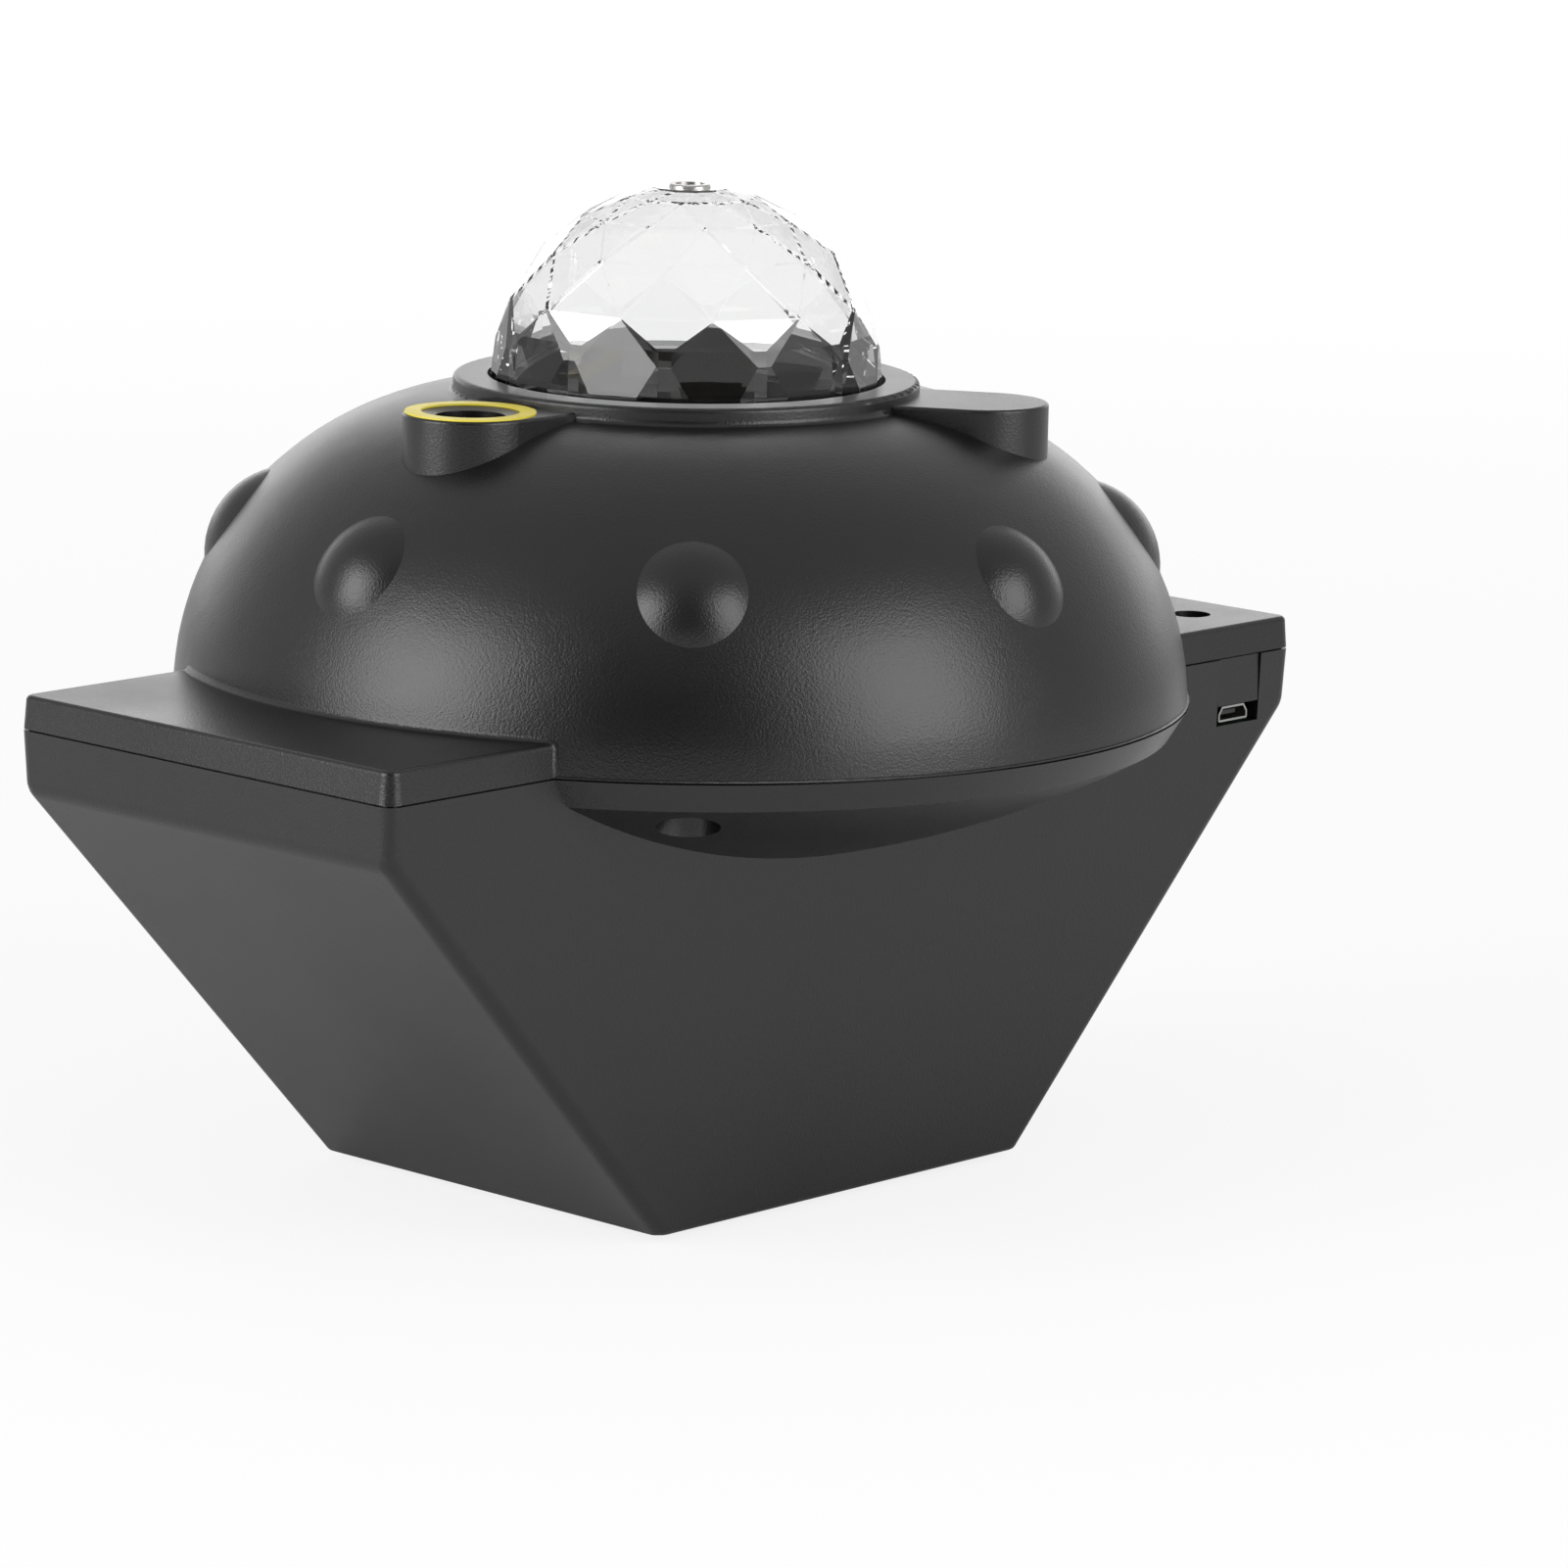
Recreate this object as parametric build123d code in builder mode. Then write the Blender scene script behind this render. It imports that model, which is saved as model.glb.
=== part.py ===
from build123d import *
import os
from math import acos, asin, atan, cos, radians, sin, sqrt, tan

# Projector lamp: a moulded saucer with two wings on a slanted tub, and a clear faceted dome on top.
# Millimetres, +Z up, origin on the table under the middle. The long side lies along X, the controls at +X.

os.makedirs("parts", exist_ok=True)

# Overall form
saucer_radius = 82.5
wing_reach = 22.9
wing_width = 83.8
lid_height = 5.5
band_height = 9.5
hull_height = 77.3
floor_length = 85.2
floor_width = 77.2
foot_proud = 1.2

# Moulding
shell_wall = 2.2
lid_wall = 2.0
hull_wall = 2.2
floor_wall = 2.4
corner_radius = 2.4
floor_edge_radius = 1.0
lid_edge_radius = 0.8
band_edge_radius = 4.0
lid_draft_angle = 4.5
seam_height = 0.3
seam_depth = 0.8
band_draw_in = 0.4
cut_overrun = 1.0
slip_gap = 0.15
press_gap = 0.03
running_gap = 0.05
moving_gap = 0.3

# Dome of the upper shell: an arc turned about Z
rim_lip_height = 0.6
rim_lip_step = 0.3
rim_lip_radius = 0.2
dome_crown_inset = 4.9
dome_arc_sink = 1.2
wing_root_radius = 1.0

# Bowl under the saucer
rim_drop = 4.7
rim_draw_in = 2.85
bowl_radius = 160.0

# Clear faceted dome
crystal_radius = 31.6
crystal_wall = 1.2
crystal_skirt = 3.7
inner_facet_draft = 0.4
crystal_sink = 0.5
girdle_height = 1.1
girdle_inset = 0.1
facet_count = 12
facet_turn_angle = 22.0
tip_half_angle = 2.1
tip_latitude = 10.9
row_latitudes = (24.5, 42.0, 57.0, 70.0, 79.0)
carrier_margin = 0.5
carrier_wall = 4.0
carrier_arm_thickness = 2.0
carrier_arm_gap = 0.6
carrier_arm_count = 3
carrier_arm_width = 4.0

# Collar round the faceted dome
collar_gap = 0.5
collar_wall = 5.5
collar_height = 2.9
collar_top_radius = 0.8
collar_root_radius = 1.0
collar_seat_drop = 15.7

# Two raised bosses beside the collar: one for the laser, one blank
laser_boss_angle = 180.0
blank_boss_angle = 300.0
boss_radius = 10.7
boss_offset = 11.0
boss_drop = 1.6
boss_edge_radius = 0.5

# Round bumps on the dome
bump_count = 8
bump_place_share = 0.56
bump_sphere_share = 0.286
bump_height_share = 0.049
bump_root_share = 0.031

# Laser
aperture_radius = 5.5
aperture_bevel_radius = 7.8
aperture_bevel_depth = 0.5
aperture_depth = 4.5
ring_thickness = 0.3
ring_margin = 0.4
barrel_radius = 6.0
barrel_length = 26.0
barrel_bore_radius = 3.2
barrel_bore_depth = 6.0
lens_radius = 4.2
lens_thickness = 2.0
lens_crown = 0.6
sleeve_wall = 2.0
sleeve_length = 14.0

# Light plate, light board and motor under the collar
plate_thickness = 2.0
plate_screw_count = 3
standoff_height = 3.0
standoff_radius = 3.0
led_board_radius = 24.0
board_thickness = 1.6
led_count = 8
led_ring_radius = 15.5
led_size = 3.5
led_height = 1.4
led_lens_height = 0.5
led_lens_share = 0.4
motor_radius = 14.0
motor_height = 19.0
motor_offset = 8.0
motor_ear_reach = 17.5
motor_ear_radius = 3.5
motor_ear_thickness = 1.0
motor_neck_radius = 4.5
motor_neck_height = 1.5
motor_bearing_depth = 6.0
motor_shaft_radius = 2.5
motor_shaft_length = 8.0
shaft_bevel_share = 0.15
hub_radius = 5.0

# Small screws: shank radius, head radius and head height follow one size
screw_shank_radius = 1.1
screw_head_radius = 2.1
screw_head_height = 1.4
screw_slot_width = 0.6
screw_slot_depth = 0.7
plate_screw_length = 6.0
motor_screw_length = 4.0
speaker_screw_length = 5.0
board_screw_length = 6.0

# Case screws and their posts
case_screw_count = 4
case_screw_start_angle = 45.0
case_screw_inset = 10.2
case_shank_radius = 1.5
case_head_radius = 2.8
case_head_height = 2.0
case_screw_length = 14.0
case_post_radius = 4.0
case_recess_radius = 5.0
case_recess_wall = 1.6
case_seat_thickness = 3.5

# Apex rivet
apex_head_radius = 3.4
apex_head_height = 0.5
apex_bore_radius = 2.4
apex_socket_radius = 1.0
apex_socket_depth = 1.2
apex_bevel_share = 0.4
apex_bore_share = 0.6
apex_shank_radius = 1.6

# Controls on the right wing
control_inset = 12.2
control_pitch = 19.75
control_count = 4
control_hole_radius = 3.3
cap_recess = 1.2
flange_radius = 4.3
flange_thickness = 1.0
stem_radius = 2.0
pin_radius = 1.6
pin_reach = 1.0
switch_size = 6.0
switch_height = 3.6
switch_bore_depth = 2.0
stem_shoulder_gap = 0.8
control_board_length = 24.5
control_board_margin = 0.6
control_post_radius = 2.8
control_post_spread = 10.5
control_screw_gap = 0.8
receiver_length = 5.0
receiver_width = 6.0
receiver_height = 7.0
receiver_lead_radius = 0.4
receiver_lead_pitch = 2.0
microphone_radius = 3.0
microphone_height = 2.7
microphone_port_radius = 0.8
microphone_port_depth = 0.5

# Micro-USB inlet in the front wall
usb_inset = 13.5
usb_width = 7.5
usb_height = 2.6
usb_depth = 5.6
usb_plate = 0.35
usb_taper = 0.9
usb_recess = 1.0
usb_drop = 11.0
tongue_width = 4.2
tongue_thickness = 0.7
tongue_length = 4.0
notch_width = 10.7
notch_below = 0.4
tab_above = 0.4

# Main board on the hull floor
main_board_length = 80.0
main_board_width = 66.0
main_post_height = 30.0
main_post_radius = 3.2
main_post_margin = 6.5
chip_length = 16.0
chip_width = 12.0
chip_height = 2.2
chip_pitch = 26.0
chip_row_share = 0.18
capacitor_radius = 4.0
capacitor_height = 11.0
capacitor_pitch = 14.0
capacitor_row_share = 0.25
capacitor_edge_share = 0.2

# Speaker over the floor grille
speaker_side = 50.0
speaker_corner_radius = 6.0
speaker_flange = 1.5
speaker_screw_inset = 4.5
speaker_rib_height = 3.0
speaker_rib_wall = 2.0
speaker_mouth_radius = 21.0
basket_height = 11.0
basket_top_radius = 13.0
basket_wall = 1.2
magnet_radius = 16.0
magnet_height = 8.0
magnet_bevel_share = 0.12
cone_wall = 0.6
cone_depth = 7.0
cone_throat_radius = 7.0
cone_lap = 1.0
surround_width = 1.5
grille_hole_radius = 2.0
grille_pitch = 6.4
grille_rings = 2

# Feet
foot_radius = 5.0
foot_thickness = 2.2
foot_inset = 9.5
foot_edge_radius = 0.4

# Levels and places worked out from the sizes above
floor_z = foot_proud
parting_z = floor_z + hull_height
lid_top_z = parting_z + lid_height
ceiling_z = lid_top_z - lid_wall
band_low_z = parting_z - band_height
hull_floor_z = floor_z + floor_wall
half_length = saucer_radius + wing_reach
wing_length = 2 * half_length
half_width = wing_width / 2
band_half_length = half_length - band_draw_in
band_half_width = half_width - band_draw_in
slant_run = band_half_length - floor_length / 2
slant_rise = hull_height - band_height
slant_angle = atan(slant_run / slant_rise)
end_wall = hull_wall / cos(slant_angle)

hole_radius = crystal_radius + collar_gap
collar_radius = hole_radius + collar_wall
dome_foot_radius = saucer_radius - rim_lip_step
dome_centre_z = parting_z - dome_arc_sink
dome_centre_r = collar_radius - dome_crown_inset
dome_arc_radius = sqrt((dome_foot_radius - dome_centre_r) ** 2 + dome_arc_sink**2)
inner_arc_radius = dome_arc_radius - shell_wall
seat_z = dome_centre_z + inner_arc_radius - collar_seat_drop
boss_ring_radius = collar_radius + boss_offset


def arc_height(radius, arc_radius):
    return dome_centre_z + sqrt(arc_radius**2 - (radius - dome_centre_r) ** 2)


def arc_reach(height, arc_radius):
    return dome_centre_r + sqrt(arc_radius**2 - (height - dome_centre_z) ** 2)


collar_top_z = arc_height(collar_radius, dome_arc_radius) + collar_height
boss_top_z = collar_top_z - boss_drop
crystal_centre_z = collar_top_z - crystal_sink
plate_low_z = seat_z - plate_thickness
motor_top_z = plate_low_z - standoff_height
led_board_top_z = seat_z + board_thickness
bowl_centre_z = parting_z - rim_drop + sqrt(bowl_radius**2 - (saucer_radius - rim_draw_in) ** 2)

case_screw_radius = saucer_radius - case_screw_inset
case_seat_z = parting_z - case_seat_thickness
control_x = half_length - control_inset
usb_x = half_length - usb_inset
usb_centre_z = parting_z - usb_drop + usb_height / 2
control_board_top_z = parting_z - usb_drop
control_board_z = control_board_top_z - board_thickness
main_board_z = hull_floor_z + main_post_height
main_board_top_z = main_board_z + board_thickness
speaker_z = hull_floor_z + speaker_rib_height
flange_top_z = speaker_z + speaker_flange


def row_of_controls(first, last):
    middle = (control_count - 1) / 2
    return [(control_x, (place - middle) * control_pitch) for place in range(first, last)]


button_places = row_of_controls(0, control_count - 1)
window_place = row_of_controls(control_count - 1, control_count)[0]
switch_top_z = control_board_top_z + switch_height
slant_tangent = tan(slant_angle)
side_tangent = (half_width - floor_width / 2) / hull_height


def end_reach(height):
    return floor_length / 2 + (height - floor_z) * slant_tangent


def side_reach(height):
    return floor_width / 2 + (height - floor_z) * side_tangent


def four_corners(half_x, half_y, centre_x=0):
    return [(centre_x + side * half_x, turn * half_y) for side in (-1, 1) for turn in (-1, 1)]


def ring_places(radius, count, start_angle=0):
    angles = [radians(start_angle + step * 360 / count) for step in range(count)]
    return [(radius * cos(angle), radius * sin(angle)) for angle in angles]


speaker_screw_reach = speaker_side / 2 - speaker_screw_inset
control_screw_end = end_reach(control_board_z - screw_head_height) - end_wall - control_screw_gap
control_post_x = control_screw_end - screw_head_radius - control_post_spread / 2
main_post_x = main_board_length / 2 - main_post_margin
main_post_y = main_board_width / 2 - main_post_margin
main_post_places = four_corners(main_post_x, main_post_y)
speaker_screw_places = four_corners(speaker_screw_reach, speaker_screw_reach)
control_post_places = four_corners(control_post_spread / 2, control_pitch, control_post_x)
foot_places = four_corners(floor_length / 2 - foot_inset, floor_width / 2 - foot_inset)
case_screw_places = ring_places(case_screw_radius, case_screw_count, case_screw_start_angle)
laser_place = ring_places(boss_ring_radius, 1, laser_boss_angle)[0]
blank_boss_place = ring_places(boss_ring_radius, 1, blank_boss_angle)[0]
plate_screw_places = ring_places(hole_radius + collar_wall / 2, plate_screw_count)
ear_places = [(motor_offset, -motor_ear_reach), (motor_offset, motor_ear_reach)]


def save(builder, name):
    builder.part.label = name
    export_step(builder.part, f"parts/{name}.step")


# Hollow inside the upper shell, with its screw posts and laser sleeve left standing
sleeve_radius = barrel_radius + press_gap + sleeve_wall
sleeve_low_z = boss_top_z - aperture_depth - sleeve_length
blank_core_radius = boss_radius - shell_wall

with BuildPart() as upper_core:
    with BuildSketch(Plane.XZ):
        with BuildLine():
            foot = (dome_foot_radius - shell_wall, parting_z)
            shoulder = (collar_radius, arc_height(collar_radius, inner_arc_radius))
            middle_z = (foot[1] + shoulder[1]) / 2
            Line((0, seat_z), (0, parting_z - cut_overrun))
            Line((0, parting_z - cut_overrun), (foot[0], parting_z - cut_overrun))
            Line((foot[0], parting_z - cut_overrun), (arc_reach(parting_z, inner_arc_radius), parting_z))
            ThreePointArc(
                (arc_reach(parting_z, inner_arc_radius), parting_z),
                (arc_reach(middle_z, inner_arc_radius), middle_z),
                shoulder,
            )
            Line(shoulder, (collar_radius, seat_z))
            Line((collar_radius, seat_z), (0, seat_z))
        make_face()
    revolve(axis=Axis.Z)
    # Hollow of the two wings
    with BuildSketch(Plane.XY.offset(parting_z - cut_overrun)):
        Rectangle(wing_length - 2 * lid_wall, wing_width - 2 * lid_wall)
    extrude(amount=ceiling_z - parting_z + cut_overrun)
    # Hollow of the blank boss
    with BuildSketch(Plane.XY.offset(boss_top_z - shell_wall)):
        with Locations(blank_boss_place):
            Circle(blank_core_radius)
    extrude(amount=-(boss_top_z - shell_wall - arc_height(boss_ring_radius + boss_radius, inner_arc_radius)))
    # Posts for the case screws and the control board
    with BuildSketch(Plane.XY.offset(parting_z)):
        with Locations(*case_screw_places):
            Circle(case_post_radius)
        with Locations(*control_post_places):
            Circle(control_post_radius)
    extrude(amount=boss_top_z - parting_z, mode=Mode.SUBTRACT)
    # Sleeve of the laser
    with BuildSketch(Plane.XY.offset(sleeve_low_z)):
        with Locations(laser_place):
            Circle(sleeve_radius)
    extrude(amount=sleeve_length, mode=Mode.SUBTRACT)

# One boss: a round tongue that runs in to the collar
tongue_run = boss_ring_radius - collar_radius + collar_wall / 2
boss_low_z = arc_height(boss_ring_radius + boss_radius, dome_arc_radius) - shell_wall
with BuildPart() as boss_block:
    with BuildSketch(Plane.XY.offset(boss_low_z)):
        with Locations((boss_ring_radius, 0)):
            Circle(boss_radius)
            Rectangle(tongue_run, 2 * boss_radius, align=(Align.MAX, Align.CENTER))
    extrude(amount=boss_top_z - boss_low_z)
    top_edges = boss_block.faces().sort_by(Axis.Z)[-1].edges()
    fillet(top_edges.sort_by(Axis.X)[1:], radius=boss_edge_radius)

# Upper shell: wings, dome, collar, bosses and bumps in one moulding
with BuildPart() as upper_shell:
    with BuildSketch(Plane.XY.offset(parting_z)):
        RectangleRounded(wing_length, wing_width, corner_radius)
    extrude(amount=lid_height, taper=lid_draft_angle)
    fillet(upper_shell.faces().sort_by(Axis.Z)[-1].edges(), radius=lid_edge_radius)
    # Dome and collar
    with BuildSketch(Plane.XZ) as dome_profile:
        with BuildLine():
            lip_z = parting_z + rim_lip_height
            foot = (arc_reach(lip_z, dome_arc_radius), lip_z)
            shoulder = (collar_radius, arc_height(collar_radius, dome_arc_radius))
            middle_z = (foot[1] + shoulder[1]) / 2
            Polyline((0, collar_top_z), (0, parting_z), (saucer_radius, parting_z))
            Polyline((saucer_radius, parting_z), (saucer_radius, lip_z), foot)
            ThreePointArc(foot, (arc_reach(middle_z, dome_arc_radius), middle_z), shoulder)
            Polyline(shoulder, (collar_radius, collar_top_z), (0, collar_top_z))
        make_face()
        rim_corner = dome_profile.vertices().group_by(Axis.X)[-1].sort_by(Axis.Y)[-1]
        fillet(rim_corner, radius=rim_lip_radius)
        top_corner = dome_profile.vertices().group_by(Axis.Y)[-1].sort_by(Axis.X)[-1]
        fillet(top_corner, radius=collar_top_radius)
        root_corner = dome_profile.vertices().sort_by_distance((*shoulder, 0))[0]
        fillet(root_corner, radius=collar_root_radius)
    revolve(axis=Axis.Z)
    wing_roots = upper_shell.edges().filter_by_position(Axis.Z, lid_top_z, lid_top_z)
    fillet(wing_roots.filter_by(GeomType.BSPLINE), radius=wing_root_radius)
    # Bosses
    for boss_angle in (laser_boss_angle, blank_boss_angle):
        with PolarLocations(0, 1, start_angle=boss_angle):
            add(boss_block.part)
    # Bumps, spheres sunk along the slope of the dome
    bump_sphere_radius = dome_arc_radius * bump_sphere_share
    bump_sink_radius = dome_arc_radius * (1 + bump_height_share) - bump_sphere_radius
    low_climb = asin((lid_top_z + wing_root_radius - dome_centre_z) / dome_arc_radius)
    high_climb = acos((boss_ring_radius + boss_radius - dome_centre_r) / dome_arc_radius)
    bump_climb = low_climb + (high_climb - low_climb) * bump_place_share
    bump_ring_radius = dome_centre_r + bump_sink_radius * cos(bump_climb)
    bump_z = dome_centre_z + bump_sink_radius * sin(bump_climb)
    with Locations((0, 0, bump_z)):
        with PolarLocations(bump_ring_radius, bump_count):
            Sphere(bump_sphere_radius)
    fillet(upper_shell.edges(Select.NEW), radius=dome_arc_radius * bump_root_share)
    # Hollow inside
    add(upper_core.part, mode=Mode.SUBTRACT)
    # Lower ends of the posts that the control board hangs from
    with BuildSketch(Plane.XY.offset(control_board_top_z)):
        with Locations(*control_post_places):
            Circle(control_post_radius)
    extrude(amount=ceiling_z - control_board_top_z)
    # Tab that closes the top of the port notch
    tab_low_z = usb_centre_z + usb_height / 2 + tab_above
    with BuildSketch(Plane.XY.offset(tab_low_z)):
        with Locations((usb_x, -band_half_width)):
            Rectangle(notch_width - 2 * slip_gap, hull_wall, align=(Align.CENTER, Align.MIN))
    extrude(amount=parting_z + lid_wall - tab_low_z)
    # Groove that shows as the seam over the lower hull
    with BuildSketch(Plane.XY.offset(parting_z)):
        Circle(wing_length)
        RectangleRounded(wing_length - 2 * seam_depth, wing_width - 2 * seam_depth,
                         corner_radius - seam_depth, mode=Mode.SUBTRACT)
        Circle(saucer_radius - seam_depth, mode=Mode.SUBTRACT)
    extrude(amount=seam_height, mode=Mode.SUBTRACT)
    # Hole for the faceted dome
    with Locations((0, 0, collar_top_z)):
        Cylinder(hole_radius, 2 * (collar_top_z - seat_z), mode=Mode.SUBTRACT)
    # Laser aperture, bevelled at the top, with the barrel socket below
    with Locations((0, 0, boss_top_z)):
        with Locations(laser_place):
            Cone(aperture_radius, aperture_bevel_radius, aperture_bevel_depth,
                 align=(Align.CENTER, Align.CENTER, Align.MAX), mode=Mode.SUBTRACT)
            Cylinder(aperture_radius, aperture_depth,
                     align=(Align.CENTER, Align.CENTER, Align.MAX), mode=Mode.SUBTRACT)
    with Locations((0, 0, boss_top_z - aperture_depth)):
        with Locations(laser_place):
            Cylinder(barrel_radius + press_gap, sleeve_length + cut_overrun,
                     align=(Align.CENTER, Align.CENTER, Align.MAX), mode=Mode.SUBTRACT)
    # Holes for the buttons and the receiver window
    with BuildSketch(Plane.XY.offset(ceiling_z - cut_overrun)):
        with Locations(*row_of_controls(0, control_count)):
            Circle(control_hole_radius)
    extrude(amount=lid_wall + 2 * cut_overrun, mode=Mode.SUBTRACT)
    # Pilot holes: case screws, light plate screws, control board screws
    case_grip = case_screw_length - case_seat_thickness + cut_overrun
    with BuildSketch(Plane.XY.offset(parting_z)):
        with Locations(*case_screw_places):
            Circle(case_shank_radius + press_gap)
    extrude(amount=case_grip, mode=Mode.SUBTRACT)
    with BuildSketch(Plane.XY.offset(seat_z)):
        with Locations(*plate_screw_places):
            Circle(screw_shank_radius + press_gap)
    extrude(amount=plate_screw_length - plate_thickness + press_gap, mode=Mode.SUBTRACT)
    with BuildSketch(Plane.XY.offset(control_board_top_z)):
        with Locations(*control_post_places):
            Circle(screw_shank_radius + press_gap)
    extrude(amount=board_screw_length - board_thickness + press_gap, mode=Mode.SUBTRACT)
save(upper_shell, "upper_shell")

# Hollow inside the lower hull, with its posts, ribs and screw wells left standing
rim_low_radius = saucer_radius - rim_draw_in
rim_low_z = parting_z - rim_drop


def bowl_height(radius, sphere_radius):
    return bowl_centre_z - sqrt(sphere_radius**2 - radius**2)


inner_bowl_radius = bowl_radius - hull_wall
inner_rim_radius = rim_low_radius - hull_wall
well_radius = case_recess_radius + case_recess_wall

with BuildPart() as hull_core:
    bend_z = band_low_z + (end_wall - hull_wall) / slant_tangent
    with BuildSketch(Plane.XZ):
        with BuildLine():
            right_side = [
                (half_length - hull_wall, parting_z),
                (band_half_length - hull_wall, bend_z),
                (end_reach(hull_floor_z) - end_wall, hull_floor_z),
            ]
            left_side = [(-x, z) for x, z in reversed(right_side)]
            Polyline(*right_side, *left_side, close=True)
        make_face()
    extrude(amount=half_width, both=True)
    with BuildSketch(Plane.YZ):
        with BuildLine():
            right_side = [
                (half_width - hull_wall, parting_z),
                (side_reach(hull_floor_z) - hull_wall, hull_floor_z),
            ]
            left_side = [(-y, z) for y, z in reversed(right_side)]
            Polyline(*right_side, *left_side, close=True)
        make_face()
    extrude(amount=half_length, both=True, mode=Mode.INTERSECT)
    # Hollow of the saucer's bowl
    with BuildSketch(Plane.XZ):
        with BuildLine():
            rim = (inner_rim_radius, bowl_height(inner_rim_radius, inner_bowl_radius))
            waist = inner_rim_radius / 2
            bottom = (0, bowl_height(0, inner_bowl_radius))
            Polyline(bottom, (0, parting_z), (saucer_radius - hull_wall, parting_z), rim)
            ThreePointArc(rim, (waist, bowl_height(waist, inner_bowl_radius)), bottom)
        make_face()
    revolve(axis=Axis.Z)
    # Screw wells
    with BuildSketch(Plane.XY.offset(parting_z)):
        with Locations(*case_screw_places):
            Circle(well_radius)
    extrude(amount=-hull_height, mode=Mode.SUBTRACT)
    # Posts of the main board
    with BuildSketch(Plane.XY.offset(hull_floor_z)):
        with Locations(*main_post_places):
            Circle(main_post_radius)
    extrude(amount=main_post_height, mode=Mode.SUBTRACT)
    # Ring rib and screw posts of the speaker
    with BuildSketch(Plane.XY.offset(hull_floor_z)):
        Circle(speaker_mouth_radius + speaker_rib_wall)
        Circle(speaker_mouth_radius, mode=Mode.SUBTRACT)
        with Locations(*speaker_screw_places):
            Circle(speaker_screw_inset)
    extrude(amount=speaker_rib_height, mode=Mode.SUBTRACT)

# Lower hull: slanted tub and bowl in one moulding
with BuildPart() as lower_hull:
    with BuildSketch(Plane.XZ) as end_profile:
        with BuildLine():
            right_side = [
                (half_length, parting_z),
                (band_half_length, band_low_z),
                (floor_length / 2, floor_z),
            ]
            left_side = [(-x, z) for x, z in reversed(right_side)]
            Polyline(*right_side, *left_side, close=True)
        make_face()
        fillet(end_profile.vertices().group_by(Axis.Y)[1], radius=band_edge_radius)
    extrude(amount=half_width, both=True)
    with BuildSketch(Plane.YZ):
        with BuildLine():
            right_side = [(half_width, parting_z), (floor_width / 2, floor_z)]
            left_side = [(-y, z) for y, z in reversed(right_side)]
            Polyline(*right_side, *left_side, close=True)
        make_face()
    extrude(amount=half_length, both=True, mode=Mode.INTERSECT)
    level_edges = lower_hull.edges().filter_by(Plane.XY)
    fillet(lower_hull.edges() - level_edges, radius=corner_radius)
    fillet(lower_hull.faces().sort_by(Axis.Z)[0].edges(), radius=floor_edge_radius)
    # Bowl under the saucer
    with BuildSketch(Plane.XZ):
        with BuildLine():
            rim = (rim_low_radius, rim_low_z)
            waist = rim_low_radius / 2
            bottom = (0, bowl_height(0, bowl_radius))
            Polyline(bottom, (0, parting_z), (saucer_radius, parting_z), rim)
            ThreePointArc(rim, (waist, bowl_height(waist, bowl_radius)), bottom)
        make_face()
    revolve(axis=Axis.Z)
    # Hollow inside
    add(hull_core.part, mode=Mode.SUBTRACT)
    # Screw recesses and clearance holes
    with BuildSketch(Plane.XY.offset(case_seat_z)):
        with Locations(*case_screw_places):
            Circle(case_recess_radius)
    extrude(amount=-hull_height, mode=Mode.SUBTRACT)
    with BuildSketch(Plane.XY.offset(case_seat_z)):
        with Locations(*case_screw_places):
            Circle(case_shank_radius + slip_gap)
    extrude(amount=case_seat_thickness, mode=Mode.SUBTRACT)
    # Notch for the port
    notch_low_z = usb_centre_z - usb_height / 2 - notch_below
    with BuildSketch(Plane.XY.offset(notch_low_z)):
        with Locations((usb_x, -half_width)):
            Rectangle(notch_width, 2 * hull_wall + cut_overrun)
    extrude(amount=parting_z - notch_low_z, mode=Mode.SUBTRACT)
    # Speaker grille: rings of round holes
    with BuildSketch(Plane.XY.offset(floor_z)):
        Circle(grille_hole_radius)
        for ring in range(1, grille_rings + 1):
            with PolarLocations(ring * grille_pitch, 6 * ring):
                Circle(grille_hole_radius)
    extrude(amount=floor_wall, mode=Mode.SUBTRACT)
    # Recesses for the feet
    with BuildSketch(Plane.XY.offset(floor_z)):
        with Locations(*foot_places):
            Circle(foot_radius + slip_gap)
    extrude(amount=foot_thickness - foot_proud, mode=Mode.SUBTRACT)
    # Pilot holes: main board and speaker
    with BuildSketch(Plane.XY.offset(main_board_z)):
        with Locations(*main_post_places):
            Circle(screw_shank_radius + press_gap)
    extrude(amount=-(board_screw_length - board_thickness + press_gap), mode=Mode.SUBTRACT)
    with BuildSketch(Plane.XY.offset(speaker_z)):
        with Locations(*speaker_screw_places):
            Circle(screw_shank_radius + press_gap)
    extrude(amount=-(speaker_screw_length - speaker_flange + press_gap), mode=Mode.SUBTRACT)
save(lower_hull, "lower_hull")

# Clear dome: rings of points on a sphere, each turned half a facet from the one below
facet_angle = 360 / facet_count
crystal_low_z = crystal_centre_z - crystal_skirt
girdle_z = crystal_centre_z + girdle_height
girdle_radius = crystal_radius - girdle_inset
inner_crystal_radius = crystal_radius - crystal_wall


def ring_points(radius, height, turn):
    angles = [radians(facet_turn_angle + turn + step * facet_angle) for step in range(facet_count)]
    return [(radius * cos(angle), radius * sin(angle), height) for angle in angles]


def row_radius(sphere_radius, row):
    return sphere_radius * cos(radians(row_latitudes[row]))


def row_height(sphere_radius, row):
    return crystal_centre_z + sphere_radius * sin(radians(row_latitudes[row]))


def rows_of_points(sphere_radius):
    points = []
    for row in range(len(row_latitudes)):
        turn = (row % 2) * facet_angle / 2
        points += ring_points(row_radius(sphere_radius, row), row_height(sphere_radius, row), turn)
    return points


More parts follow.
